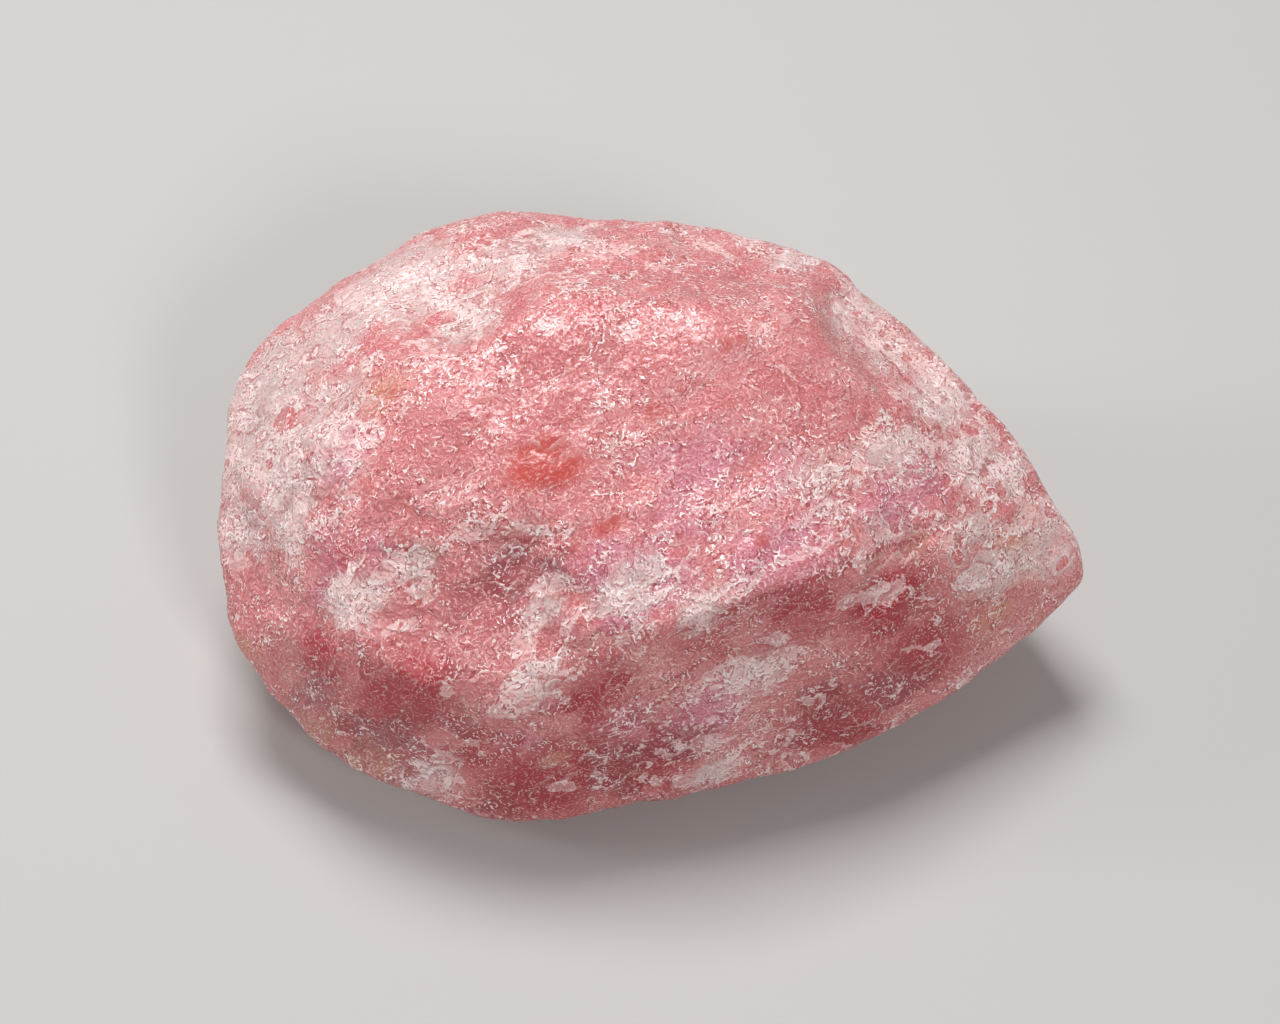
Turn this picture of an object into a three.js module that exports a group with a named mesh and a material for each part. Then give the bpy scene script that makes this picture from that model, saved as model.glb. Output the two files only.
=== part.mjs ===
// Rough pink aventurine: one broken lump of sugary quartz rock.
//
// Millimetres, +Z up. The stone lies on a flat worn face in the plane z = 0, with the
// middle of its outline at x = y = 0 and its pointed end towards +X.
//
// The stone is one star-shaped solid: every direction from HEART meets its surface once.
// Flat breaks between hand-placed corners give the lump, scooped hollows and a stepped
// ledge are bitten out of it, and low swells and flake scars roughen what is left.

import * as THREE from 'three';
import { mergeVertices } from 'three/addons/utils/BufferGeometryUtils.js';

// ---- the lump -------------------------------------------------------------------------

// A point deep inside the stone, 11.5 mm above the surface it lies on.
const HEART = new THREE.Vector3(-1, -2, 11.5);

// Half the stone's length, width and height. Only the spacing of the mesh follows them.
const HALF_SIZE = new THREE.Vector3(24.5, 16.5, 12.5);

// Corners of the lump. Their convex hull has a face for each flat break.
const CORNERS = {
  // The widest outline, from the back round by the pointed end.
  backRim: [
    [-12.7, 13.0, 19.5], [-8.2, 13.9, 21.0], [-5.0, 13.1, 20.3], [2.8, 12.1, 20.4],
    [9.3, 11.5, 19.8], [13.6, 7.9, 18.5], [17.7, 4.7, 16.5], [19.6, 2.7, 14.6],
  ],
  pointedEnd: [
    [22.2, 0.3, 12.6], [24.6, -2.3, 10.2], [24.6, -3.7, 8.7], [23.3, -4.9, 7.7],
    [20.8, -7.1, 5.8],
  ],
  frontFoot: [
    [17.3, -8.8, 4.4], [12.8, -11.6, 3.2], [7.6, -13.4, 2.8], [4.6, -14.3, 2.3],
    [-3.4, -14.8, 2.1], [-7.1, -16.5, 2.0], [-10.1, -15.7, 2.3], [-12.2, -14.6, 2.8],
    [-16.6, -13.5, 3.4],
  ],
  bluntEnd: [
    [-19.8, -11.8, 4.8], [-21.9, -9.4, 6.0], [-23.8, -7.3, 7.7], [-24.5, -3.9, 10.0],
    [-24.7, -0.6, 11.5], [-24.4, 3.0, 13.5], [-23.8, 6.2, 15.1], [-22.6, 8.0, 15.9],
    [-18.7, 9.0, 16.2], [-15.6, 11.6, 17.4],
  ],
  // The ridge along the front, where the top breaks off.
  frontRidge: [
    [18.7, -4.2, 14.4], [13.5, -8.1, 16.1], [9.4, -11.0, 17.0], [4.6, -12.5, 17.2],
    [2.0, -13.5, 16.4], [-2.7, -15.1, 14.2], [-7.6, -16.0, 11.9], [-11.1, -15.1, 12.3],
    [-15.9, -12.4, 13.3],
  ],
  crown: [
    [-2.7, 2.5, 25.0], [-9.2, 3.1, 24.4], [3.7, 1.1, 24.9], [11.2, -1.5, 21.4],
    [-12.2, -2.5, 22.4], [-17.1, -3.9, 19.9], [-6.0, -8.5, 20.7], [-13.5, 6.5, 22.5],
    [11.0, 6.0, 21.8],
  ],
  frontBulge: [[-0.6, -15.4, 8.6], [7.0, -13.4, 8.8], [12.4, -11.7, 7.0]],
  back: [
    [-14.0, 15.0, 10.0], [-4.0, 16.5, 9.0], [6.0, 15.5, 10.0], [14.0, 10.5, 8.0],
    [21.0, 2.5, 6.0], [23.2, -1.6, 4.6], [-22.0, 8.5, 8.0],
  ],
  // Just below z = 0, so that the flat face cuts the underside.
  underside: [
    [-10.0, -9.0, -0.5], [2.0, -10.0, -0.5], [9.5, -4.5, -0.5], [8.0, 3.0, -0.5],
    [-2.0, 5.5, -0.5], [-11.0, 4.0, -0.5], [-14.5, -2.0, -0.5],
  ],
};

// How crisply the breaks meet, per millimetre: edges are rounded over about 1 / 3 mm.
const CRISPNESS = 3.0;

// The breaks aren't quite flat: each direction is swayed by up to about this many
// radians, and the sway comes and goes about this many times per radian.
const SWAY = { amount: 0.022, perRadian: 3.1, seeds: [31, 32, 33] };

// ---- what is bitten out of it ---------------------------------------------------------

// Hollows are bites of a ball. Each has the middle of its mouth, the way it faces as
// azimuth and elevation in degrees, the ball's radius and how deep it goes.
const HOLLOWS = [
  { mouth: [-8.3, -11.8, 16.9], faces: [-100, 44], radius: 11.0, depth: 1.3 },
  { mouth: [-12.3, -11.9, 15.3], faces: [-120, 44], radius: 9.0, depth: 0.8 },
  { mouth: [-12.4, 1.8, 22.3], faces: [120, 72], radius: 13.0, depth: 0.5 },
  { mouth: [-1.6, -12.2, 18.0], faces: [-85, 45], radius: 8.0, depth: 0.5 },
  { mouth: [14.0, 2.2, 18.6], faces: [30, 60], radius: 12.0, depth: 0.45 },
  { mouth: [-20.7, -6.3, 13.3], faces: [-160, 25], radius: 10.0, depth: 0.5 },
];

// A ledge is cut by two faces that meet in an inner corner: a riser and a tread.
const LEDGES = [
  { corner: [6.5, -12.0, 12.6], riser: [-70, 0], tread: [-80, 42] },
  { corner: [-1.0, 14.4, 15.0], riser: [103, -14], tread: [72, 46] },
];

// ---- roughness ------------------------------------------------------------------------

// The rock parts along beds. Swells and flakes are this much thinner across them.
const BED_NORMAL = new THREE.Vector3(-0.5, 0.667, 0.559).normalize();
const BED_THINNESS = 1.35;

// Low rounded swells: width and height in millimetres.
const SWELLS = [
  { width: 11.0, height: 0.35, seed: 1 },
  { width: 5.0, height: 0.18, seed: 2 },
  { width: 2.2, height: 0.1, seed: 3 },
];

// Flake scars: tilted flats, with edges that wander by a part of their width. The small
// ones come in patches.
const LARGE_FLAKES = { width: 6.5, height: 0.24, wander: 0.22, seed: 21 };
const SMALL_FLAKES = { width: 2.9, height: 0.12, wander: 0.3, seed: 22 };
const FLAKE_CRISPNESS = 9.0;
const WANDER = { width: 3.3, seeds: [11, 12, 13] };
const PATCHES = { width: 8.0, share: 0.55, contrast: 0.9, seed: 4 };

// ---- the mesh -------------------------------------------------------------------------

// Each of an icosahedron's 20 faces is cut into MESH_CUTS x MESH_CUTS triangles.
const MESH_CUTS = 21;
const FAR = 1000;
const NEARLY_ZERO = 1e-4;
const SAME_PLACE = 1e-6;

const stoneFinish = new THREE.MeshStandardMaterial({
  color: 0xcb9294,
  roughness: 0.45,
  metalness: 0.0,
});

/** The unit vector at an azimuth and elevation in degrees. */
function facing([azimuth, elevation]) {
  const polar = THREE.MathUtils.degToRad(90 - elevation);
  const turn = THREE.MathUtils.degToRad(azimuth);
  return new THREE.Vector3(
    Math.sin(polar) * Math.cos(turn),
    Math.sin(polar) * Math.sin(turn),
    Math.cos(polar),
  );
}

/** A repeatable scramble of a grid cell and a seed into 32 bits. */
function scramble(cell, seed) {
  let bits = Math.imul(cell.x, 374761393) + Math.imul(cell.y, 668265263);
  bits = (bits + Math.imul(cell.z, 2246822519) + Math.imul(seed, 3266489917)) >>> 0;
  bits = Math.imul(bits ^ (bits >>> 13), 1274126177) >>> 0;
  bits = Math.imul(bits ^ (bits >>> 15), 2246822519) >>> 0;
  return (bits ^ (bits >>> 16)) >>> 0;
}

/** A vector of three numbers from 0 to 1, ten bits each. */
function spread(bits) {
  return new THREE.Vector3(bits & 1023, (bits >>> 10) & 1023, (bits >>> 20) & 1023)
    .divideScalar(1023);
}

/** The same, from -1 to 1. */
function slope(bits) {
  return spread(bits).multiplyScalar(2).subScalar(1);
}

/** Calls visit with each cell of a block that runs from low to high on all three axes. */
function eachCell(low, high, visit) {
  for (let x = low; x <= high; x += 1) {
    for (let y = low; y <= high; y += 1) {
      for (let z = low; z <= high; z += 1) {
        visit(new THREE.Vector3(x, y, z));
      }
    }
  }
}

/** Smooth noise from about -1 to 1: a random slope at each grid point, eased between. */
function noise(point, seed) {
  const ease = (t) => t * t * t * (t * (t * 6 - 15) + 10);
  const cell = point.clone().floor();
  const inside = point.clone().sub(cell);
  let total = 0;
  eachCell(0, 1, (corner) => {
    const away = inside.clone().sub(corner);
    const rise = slope(scramble(cell.clone().add(corner), seed)).dot(away);
    const weights = ['x', 'y', 'z'].map((axis) => ease(1 - Math.abs(away[axis])));
    total += rise * weights[0] * weights[1] * weights[2];
  });
  return 1.4 * total;
}

/** Three noises as a vector. */
function noiseVector(point, seeds) {
  return new THREE.Vector3(...seeds.map((seed) => noise(point, seed)));
}

/** Flake scars: each grid cell owns a small tilted flat, and the nearest one shows. */
function flakes(point, seed) {
  const home = point.clone().floor();
  let height = 0;
  let total = 0;
  eachCell(-1, 1, (step) => {
    const cell = home.clone().add(step);
    const placeBits = scramble(cell, seed);
    const tiltBits = scramble(cell, seed + 7);
    const away = point.clone().sub(cell).sub(spread(placeBits));
    const weight = Math.exp(-FLAKE_CRISPNESS * away.lengthSq());
    const lift = ((placeBits ^ tiltBits) & 1023) / 1023 - 0.5;
    height += weight * (lift + slope(tiltBits).dot(away));
    total += weight;
  });
  return height / total;
}

/** The flat breaks: the planes of the corners' convex hull, each found once. */
function outerFaces(points) {
  const found = [];
  const isNew = (plane) => !found.some(
    (other) => other.normal.distanceTo(plane.normal) < SAME_PLACE,
  );
  for (let a = 0; a < points.length; a += 1) {
    for (let b = a + 1; b < points.length; b += 1) {
      for (let c = b + 1; c < points.length; c += 1) {
        const plane = new THREE.Plane().setFromCoplanarPoints(points[a], points[b], points[c]);
        const sides = points.map((point) => plane.distanceToPoint(point));
        if (sides.every((side) => side >= -SAME_PLACE)) plane.negate();
        else if (!sides.every((side) => side <= SAME_PLACE)) continue;
        if (plane.normal.length() > 0.5 && isNew(plane)) found.push(plane);
      }
    }
  }
  return found;
}

/** How far HEART is behind a plane through a point, and the plane's normal. */
function behind(normal, point) {
  return { normal, depth: point.clone().sub(HEART).dot(normal) };
}

const corners = Object.values(CORNERS).flat().map((corner) => new THREE.Vector3(...corner));

const breaks = outerFaces(corners).map((plane) => ({
  normal: plane.normal,
  depth: -plane.distanceToPoint(HEART),
}));

const ledges = LEDGES.map(({ corner, riser, tread }) => [riser, tread].map(
  (face) => behind(facing(face), new THREE.Vector3(...corner)),
));

const balls = HOLLOWS.map(({ mouth, faces, radius, depth }) => {
  const centre = facing(faces).multiplyScalar(radius - depth).add(new THREE.Vector3(...mouth));
  return { centre: centre.sub(HEART), radius };
});

/** The distance from HEART to a plane, along a direction. */
function reachPlane(direction, { normal, depth }) {
  const rate = direction.dot(normal);
  return rate > NEARLY_ZERO ? depth / rate : FAR;
}

/** The distance from HEART to the near side of a ball, along a direction. */
function reachBall(direction, { centre, radius }) {
  const along = direction.dot(centre);
  const inside = along * along - centre.lengthSq() + radius * radius;
  return inside > 0 && along > 0 ? along - Math.sqrt(inside) : FAR;
}

/** The least of many reaches, rounded where two are nearly the same. */
function softLeast(reaches) {
  const least = Math.min(...reaches);
  const crowd = reaches.reduce((sum, reach) => sum + Math.exp(CRISPNESS * (least - reach)), 0);
  return least - Math.log(crowd) / CRISPNESS;
}

/** The lump with its hollows and ledges: the distance from HEART along a direction. */
function lumpReach(direction) {
  const sway = noiseVector(direction.clone().multiplyScalar(SWAY.perRadian), SWAY.seeds);
  const swayed = direction.clone().addScaledVector(sway, SWAY.amount).normalize();
  return softLeast([
    ...breaks.map((face) => reachPlane(swayed, face)),
    ...balls.map((ball) => reachBall(swayed, ball)),
    ...ledges.map((pair) => Math.max(...pair.map((face) => reachPlane(swayed, face)))),
  ]);
}

/** How far the swells and flake scars lift the surface at a point. */
function roughness(point) {
  const across = point.dot(BED_NORMAL) * (BED_THINNESS - 1);
  const bedded = point.clone().addScaledVector(BED_NORMAL, across);
  const at = (width) => bedded.clone().divideScalar(width);
  const wander = noiseVector(at(WANDER.width), WANDER.seeds);
  const scars = ({ width, height, wander: part, seed }) => (
    height * flakes(at(width).addScaledVector(wander, part), seed)
  );
  const patch = PATCHES.share + PATCHES.contrast * noise(at(PATCHES.width), PATCHES.seed);
  return SWELLS.reduce((sum, { width, height, seed }) => sum + height * noise(at(width), seed), 0)
    + scars(LARGE_FLAKES)
    + THREE.MathUtils.clamp(patch, 0, 1) * scars(SMALL_FLAKES);
}

/** The point of the stone's surface in a direction, cut off flat at z = 0. */
function surfacePoint(direction) {
  const lump = lumpReach(direction);
  const onLump = HEART.clone().addScaledVector(direction, lump);
  const point = HEART.clone().addScaledVector(direction, lump + roughness(onLump));
  if (point.z > 0) return point;
  point.copy(HEART).addScaledVector(direction, HEART.z / -direction.z);
  point.z = 0;
  return point;
}

/** The stone: a sphere of triangles, each corner moved out to the surface. */
function makeStone() {
  const ball = new THREE.IcosahedronGeometry(1, MESH_CUTS - 1);
  ball.deleteAttribute('normal');
  ball.deleteAttribute('uv');
  const skin = mergeVertices(ball);
  const place = skin.attributes.position;
  for (let i = 0; i < place.count; i += 1) {
    const direction = new THREE.Vector3().fromBufferAttribute(place, i);
    const point = surfacePoint(direction.multiply(HALF_SIZE).normalize());
    place.setXYZ(i, point.x, point.y, point.z);
  }
  skin.computeVertexNormals();
  const stone = new THREE.Mesh(skin, stoneFinish);
  stone.name = 'stone';
  return stone;
}

const aventurine = new THREE.Group();
aventurine.name = 'aventurine';
aventurine.add(makeStone());

export default aventurine;
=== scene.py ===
# %% [markdown]
# # A rough lump of pink aventurine
#
# Aventurine is quartz rock. Its grains are a few tenths of a millimetre across and grow
# into each other, so a broken face looks like pressed sugar: thousands of tiny tilted
# flats, some of which flash. Clear quartz tinted by fine pink dust lets light in and
# spreads it, so shadows glow instead of going grey. Where the rock was struck, its
# grains are crushed and white.
#
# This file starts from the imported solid, makes one detailed skin round it, gives the
# skin its finish, and sets up the studio. Blender's unit is the metre, and the stone's
# own numbers below are in millimetres, so every place is multiplied by MM once.

import math

import bpy
import numpy as np
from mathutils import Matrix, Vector


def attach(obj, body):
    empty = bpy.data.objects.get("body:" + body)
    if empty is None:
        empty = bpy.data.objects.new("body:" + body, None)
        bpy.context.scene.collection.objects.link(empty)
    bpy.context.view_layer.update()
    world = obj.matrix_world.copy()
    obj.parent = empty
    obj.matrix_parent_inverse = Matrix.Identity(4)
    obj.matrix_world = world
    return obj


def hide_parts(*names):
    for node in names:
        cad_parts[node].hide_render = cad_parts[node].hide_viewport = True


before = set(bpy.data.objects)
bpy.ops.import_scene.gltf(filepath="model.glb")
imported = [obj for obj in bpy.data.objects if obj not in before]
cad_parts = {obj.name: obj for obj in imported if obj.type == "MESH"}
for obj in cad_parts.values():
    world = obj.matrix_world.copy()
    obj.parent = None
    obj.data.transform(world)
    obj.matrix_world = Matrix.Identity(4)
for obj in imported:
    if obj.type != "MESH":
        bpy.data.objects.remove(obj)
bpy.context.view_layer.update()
MM = 0.001

# %% [markdown]
# ## The camera, the floor and the light
#
# A stone is looked at from above its front, so the camera stands 50 degrees up and far
# enough away that the outline isn't stretched. One large soft lamp over the back of the
# stone rakes across its top, so the grains throw tiny shadows. Two smaller ones, in
# front and at the blunt end, keep the lower faces readable, and their small size gives
# the grains sharp glints. A faint warm light from all round stands for the room.

# %% Camera
CAMERA_HEIGHT_ANGLE = math.radians(50)
CAMERA_DISTANCE = 175 * MM
LENS = 89.1  # millimetres, on a sensor 36 mm wide
AIM = Vector((-0.6, -2.4, 12.6)) * MM

towards_viewer = Vector((0, -math.cos(CAMERA_HEIGHT_ANGLE), math.sin(CAMERA_HEIGHT_ANGLE)))
camera = bpy.data.objects.new("camera", bpy.data.cameras.new("camera"))
camera.data.lens = LENS
camera.data.clip_start = 0.01
camera.location = AIM + towards_viewer * CAMERA_DISTANCE
camera.rotation_euler = (-towards_viewer).to_track_quat("-Z", "Y").to_euler()
bpy.context.collection.objects.link(camera)
bpy.context.scene.camera = camera
bpy.context.scene.view_settings.view_transform = "Standard"
print("camera, mm:", [round(x / MM, 1) for x in camera.location])


# %% Lamps
STONE_MIDDLE = Vector((0, 0, 12)) * MM


def lamp(name, place_mm, size_mm, watts):
    """A square soft lamp that faces the middle of the stone."""
    light = bpy.data.lights.new(name, "AREA")
    light.size = size_mm * MM
    light.energy = watts
    made = bpy.data.objects.new(name, light)
    made.location = Vector(place_mm) * MM
    away = made.location - STONE_MIDDLE
    made.rotation_euler = (-away).to_track_quat("-Z", "Y").to_euler()
    bpy.context.collection.objects.link(made)
    return made


lamps = [
    lamp("key_lamp", (-34, 100, 295), 120, 0.81),
    lamp("front_lamp", (100, -240, 220), 70, 0.38),
    lamp("side_lamp", (-290, 0, 150), 80, 0.24),
]
print("lamps, watts:", [round(light.data.energy, 2) for light in lamps])

# %% The light of the room
world = bpy.data.worlds.new("studio")
world.use_nodes = True
room_light = world.node_tree.nodes["Background"]
room_light.inputs["Color"].default_value = (1.0, 0.94, 0.93, 1)
room_light.inputs["Strength"].default_value = 0.17
bpy.context.scene.world = world
print("room light:", room_light.inputs["Strength"].default_value)

# %% [markdown]
# ## The lump
#
# The stone is star-shaped: each direction out of its heart meets the surface once. So
# its shape is one function, the reach r(u) of a direction u. The convex hull of some
# corners gives the flat breaks, and the reach is the least of the distances to their
# planes. Balls and wedges bitten out are further distances in that same least. A soft
# least rounds all edges alike. The numbers are those of the solid, so the skin and the
# solid agree, and the skin then adds what is too fine for the solid.

# %% The heart, the breaks' corners and the bites, in millimetres
HEART = np.array([-1, -2, 11.5])
HALF_SIZE = np.array([24.5, 16.5, 12.5])
CORNERS = np.array([
    # the widest outline, from the back round by the pointed end
    (-12.7, 13.0, 19.5), (-8.2, 13.9, 21.0), (-5.0, 13.1, 20.3), (2.8, 12.1, 20.4),
    (9.3, 11.5, 19.8), (13.6, 7.9, 18.5), (17.7, 4.7, 16.5), (19.6, 2.7, 14.6),
    (22.2, 0.3, 12.6), (24.6, -2.3, 10.2), (24.6, -3.7, 8.7), (23.3, -4.9, 7.7),
    (20.8, -7.1, 5.8),
    # the foot of the front
    (17.3, -8.8, 4.4), (12.8, -11.6, 3.2), (7.6, -13.4, 2.8), (4.6, -14.3, 2.3),
    (-3.4, -14.8, 2.1), (-7.1, -16.5, 2.0), (-10.1, -15.7, 2.3), (-12.2, -14.6, 2.8),
    (-16.6, -13.5, 3.4),
    # the blunt end
    (-19.8, -11.8, 4.8), (-21.9, -9.4, 6.0), (-23.8, -7.3, 7.7), (-24.5, -3.9, 10.0),
    (-24.7, -0.6, 11.5), (-24.4, 3.0, 13.5), (-23.8, 6.2, 15.1), (-22.6, 8.0, 15.9),
    (-18.7, 9.0, 16.2), (-15.6, 11.6, 17.4),
    # the ridge along the front
    (18.7, -4.2, 14.4), (13.5, -8.1, 16.1), (9.4, -11.0, 17.0), (4.6, -12.5, 17.2),
    (2.0, -13.5, 16.4), (-2.7, -15.1, 14.2), (-7.6, -16.0, 11.9), (-11.1, -15.1, 12.3),
    (-15.9, -12.4, 13.3),
    # the crown
    (-2.7, 2.5, 25.0), (-9.2, 3.1, 24.4), (3.7, 1.1, 24.9), (11.2, -1.5, 21.4),
    (-12.2, -2.5, 22.4), (-17.1, -3.9, 19.9), (-6.0, -8.5, 20.7), (-13.5, 6.5, 22.5),
    (11.0, 6.0, 21.8),
    # the bulge of the front, the back and the underside
    (-0.6, -15.4, 8.6), (7.0, -13.4, 8.8), (12.4, -11.7, 7.0),
    (-14.0, 15.0, 10.0), (-4.0, 16.5, 9.0), (6.0, 15.5, 10.0), (14.0, 10.5, 8.0),
    (21.0, 2.5, 6.0), (23.2, -1.6, 4.6), (-22.0, 8.5, 8.0),
    (-10.0, -9.0, -0.5), (2.0, -10.0, -0.5), (9.5, -4.5, -0.5), (8.0, 3.0, -0.5),
    (-2.0, 5.5, -0.5), (-11.0, 4.0, -0.5), (-14.5, -2.0, -0.5),
])
CRISPNESS = 3.0
SWAY, SWAY_PER_RADIAN, SWAY_SEEDS = 0.022, 3.1, (31, 32, 33)

# hollows: middle of the mouth, azimuth and elevation it faces, ball radius, depth
HOLLOWS = [
    ((-8.3, -11.8, 16.9), (-100, 44), 11.0, 1.3),
    ((-12.3, -11.9, 15.3), (-120, 44), 9.0, 0.8),
    ((-12.4, 1.8, 22.3), (120, 72), 13.0, 0.5),
    ((-1.6, -12.2, 18.0), (-85, 45), 8.0, 0.5),
    ((14.0, 2.2, 18.6), (30, 60), 12.0, 0.45),
    ((-20.7, -6.3, 13.3), (-160, 25), 10.0, 0.5),
]
# ledges: inner corner, riser, tread
LEDGES = [
    ((6.5, -12.0, 12.6), (-70, 0), (-80, 42)),
    ((-1.0, 14.4, 15.0), (103, -14), (72, 46)),
]
BED_NORMAL = np.array([-0.5, 0.667, 0.559])
BED_NORMAL /= np.linalg.norm(BED_NORMAL)
print(len(CORNERS), "corners,", len(HOLLOWS), "hollows,", len(LEDGES), "ledges")


# %% Planes of the breaks
def facing(angles):
    """The unit vector at an azimuth and elevation in degrees."""
    azimuth, elevation = np.radians(angles)
    flat = np.cos(elevation)
    return np.array([flat * np.cos(azimuth), flat * np.sin(azimuth), np.sin(elevation)])


def outer_planes(points):
    """The convex hull's planes: n = unit((b - a) x (c - a)) and d = n . a, for each
    three corners that have all the others behind them."""
    a, b, c = np.indices((len(points),) * 3).reshape(3, -1)
    keep = (a < b) & (b < c)
    a, b, c = points[a[keep]], points[b[keep]], points[c[keep]]
    normal = np.cross(b - a, c - a)
    length = np.linalg.norm(normal, axis=1, keepdims=True)
    solid = length[:, 0] > 1e-9
    normal, first = normal[solid] / length[solid], a[solid]
    depth = (normal * first).sum(1)
    side = points @ normal.T - depth
    front, behind = (side <= 1e-6).all(0), (side >= -1e-6).all(0)
    normal = np.concatenate([normal[front], -normal[behind]])
    depth = np.concatenate([depth[front], -depth[behind]])
    apart = np.linalg.norm(normal[:, None] - normal[None], axis=2)
    first_seen = np.argmax(apart < 1e-6, axis=1) == np.arange(len(normal))
    return normal[first_seen], depth[first_seen]


break_normals, break_depths = outer_planes(CORNERS - HEART)
ball_centres = np.array([
    np.array(mouth) + facing(faces) * (radius - depth) - HEART
    for mouth, faces, radius, depth in HOLLOWS
])
ball_radii = np.array([radius for _, _, radius, _ in HOLLOWS])
print(len(break_depths), "flat breaks")

# %% [markdown]
# ## Noise and flake scars
#
# Two kinds of irregularity cover a broken stone. Low swells come from gradient noise:
# each point of a grid has a random slope, and the slopes are eased into each other.
# Flake scars are left where thin chips sprang off: each cell of a jumbled grid owns a
# small flat with its own height and tilt, and the nearest cell's flat shows. Both work
# in coordinates that are stretched across the rock's beds, so both run in streaks.


# %% Noise
def scramble(cell, seed):
    """A repeatable 32-bit hash of whole-number cells and a seed."""
    x, y, z = (cell.astype(np.int64) & 0xFFFFFFFF).astype(np.uint64).T
    full = np.uint64(0xFFFFFFFF)
    bits = (x * 374761393 + y * 668265263 + z * 2246822519 + seed * 3266489917) & full
    bits = ((bits ^ (bits >> np.uint64(13))) * 1274126177) & full
    bits = ((bits ^ (bits >> np.uint64(15))) * 2246822519) & full
    return bits ^ (bits >> np.uint64(16))


def spread(bits):
    """Three numbers from 0 to 1 out of each hash, ten bits each."""
    fields = [(bits >> np.uint64(shift)) & np.uint64(1023) for shift in (0, 10, 20)]
    return np.stack(fields, -1) / 1023.0


def noise(points, seed):
    """Gradient noise from about -1 to 1: sum over the 8 grid corners of
    ease(x) ease(y) ease(z) (slope . offset), with ease(t) = t^3 (6 t^2 - 15 t + 10)."""
    cell = np.floor(points)
    inside = points - cell
    total = np.zeros(len(points))
    for corner in np.ndindex(2, 2, 2):
        away = inside - corner
        near = 1 - np.abs(away)
        weight = (near ** 3 * (near * (near * 6 - 15) + 10)).prod(1)
        slope = spread(scramble(cell + corner, seed)) * 2 - 1
        total += weight * (slope * away).sum(1)
    return 1.4 * total


def noises(points, seeds):
    """Three noises as a vector."""
    return np.stack([noise(points, seed) for seed in seeds], -1)


def flakes(points, seed, crispness=9.0):
    """Flake scars: the mean over the 27 nearest cells of lift + tilt . offset, weighted
    by exp(-crispness |offset|^2). Also returns how near a scar's border each point is,
    as 0 inside and towards 1 where two scars weigh the same."""
    home = np.floor(points)
    height = np.zeros(len(points))
    total = np.zeros(len(points))
    largest = np.zeros(len(points))
    for step in np.ndindex(3, 3, 3):
        cell = home + step - 1
        place, tilt = scramble(cell, seed), scramble(cell, seed + 7)
        away = points - cell - spread(place)
        weight = np.exp(-crispness * (away ** 2).sum(1))
        lift = ((place ^ tilt) & np.uint64(1023)) / 1023.0 - 0.5
        height += weight * (lift + ((spread(tilt) * 2 - 1) * away).sum(1))
        total += weight
        largest = np.maximum(largest, weight)
    return height / total, 2 * (1 - largest / total)


def bedded(points, thinness=1.35):
    """Points stretched across the beds: p + (thinness - 1) (p . n) n."""
    return points + (thinness - 1) * (points @ BED_NORMAL)[:, None] * BED_NORMAL


# %% The lump's reach
FAR = 1000.0


def reach_planes(directions, normals, depths):
    """The distance to each plane along each direction: d / (u . n)."""
    rate = directions @ normals.T
    return np.where(rate > 1e-4, depths / np.maximum(rate, 1e-4), FAR)


def lump(directions):
    """The soft least of all distances, m - ln(sum exp(k (m - t))) / k, and how crowded
    it is there: 0 on a flat break, about 0.7 on an edge, more on a corner."""
    swayed = directions + SWAY * noises(directions * SWAY_PER_RADIAN, SWAY_SEEDS)
    swayed /= np.linalg.norm(swayed, axis=1, keepdims=True)
    along = swayed @ ball_centres.T
    inside = along ** 2 - (ball_centres ** 2).sum(1) + ball_radii ** 2
    met = (inside > 0) & (along > 0)
    reaches = [
        reach_planes(swayed, break_normals, break_depths),
        np.where(met, along - np.sqrt(np.maximum(inside, 0)), FAR),
    ]
    for corner, riser, tread in LEDGES:
        normals = np.array([facing(riser), facing(tread)])
        wedge = reach_planes(swayed, normals, normals @ (np.array(corner) - HEART))
        reaches.append(wedge.max(1, keepdims=True))
    reaches = np.concatenate(reaches, 1)
    least = reaches.min(1)
    crowd = np.log(np.exp(CRISPNESS * (least[:, None] - reaches)).sum(1))
    return least - crowd / CRISPNESS, crowd


def solid_relief(points):
    """The swells and flake scars that the solid has too, and the scars' borders."""
    at = bedded(points)
    wander = noises(at / 3.3, (11, 12, 13))
    patch = np.clip(0.55 + 0.9 * noise(at / 8.0, 4), 0, 1)
    large, large_border = flakes(at / 6.5 + 0.22 * wander, 21)
    small, small_border = flakes(at / 2.9 + 0.3 * wander, 22)
    swells = 0.35 * noise(at / 11.0, 1) + 0.18 * noise(at / 5.0, 2) + 0.1 * noise(at / 2.2, 3)
    return swells + 0.24 * large + 0.12 * patch * small, large_border, patch * small_border


# %% [markdown]
# ## The fine relief
#
# The solid stops at scars of about three millimetres. The skin goes on to scars of one
# and a half millimetres and to the sugary grain itself, down to what its mesh can hold.
# Anything finer is left to the finish. Some places stay smooth: on the real rock they
# are single clear grains or clean breaks, and they show as darker, redder windows.

# %% Marks on the stone
def on_stone(angles):
    """The points where some azimuths and elevations, seen from the heart, meet the lump."""
    toward = np.array([facing(pair) for pair in angles])
    return HEART + toward * lump(toward)[0][:, None]


def blots(points, marks, thinness=1.5):
    """The strongest of strength exp(-(d / radius)^2), with d stretched across the beds."""
    value = np.zeros(len(points))
    middles = on_stone([angles for angles, _, _ in marks])
    for middle, (_, radius, strength) in zip(middles, marks):
        away = bedded(points - middle, thinness)
        value = np.maximum(value, strength * np.exp(-(away ** 2).sum(1) / radius ** 2))
    return value


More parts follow.
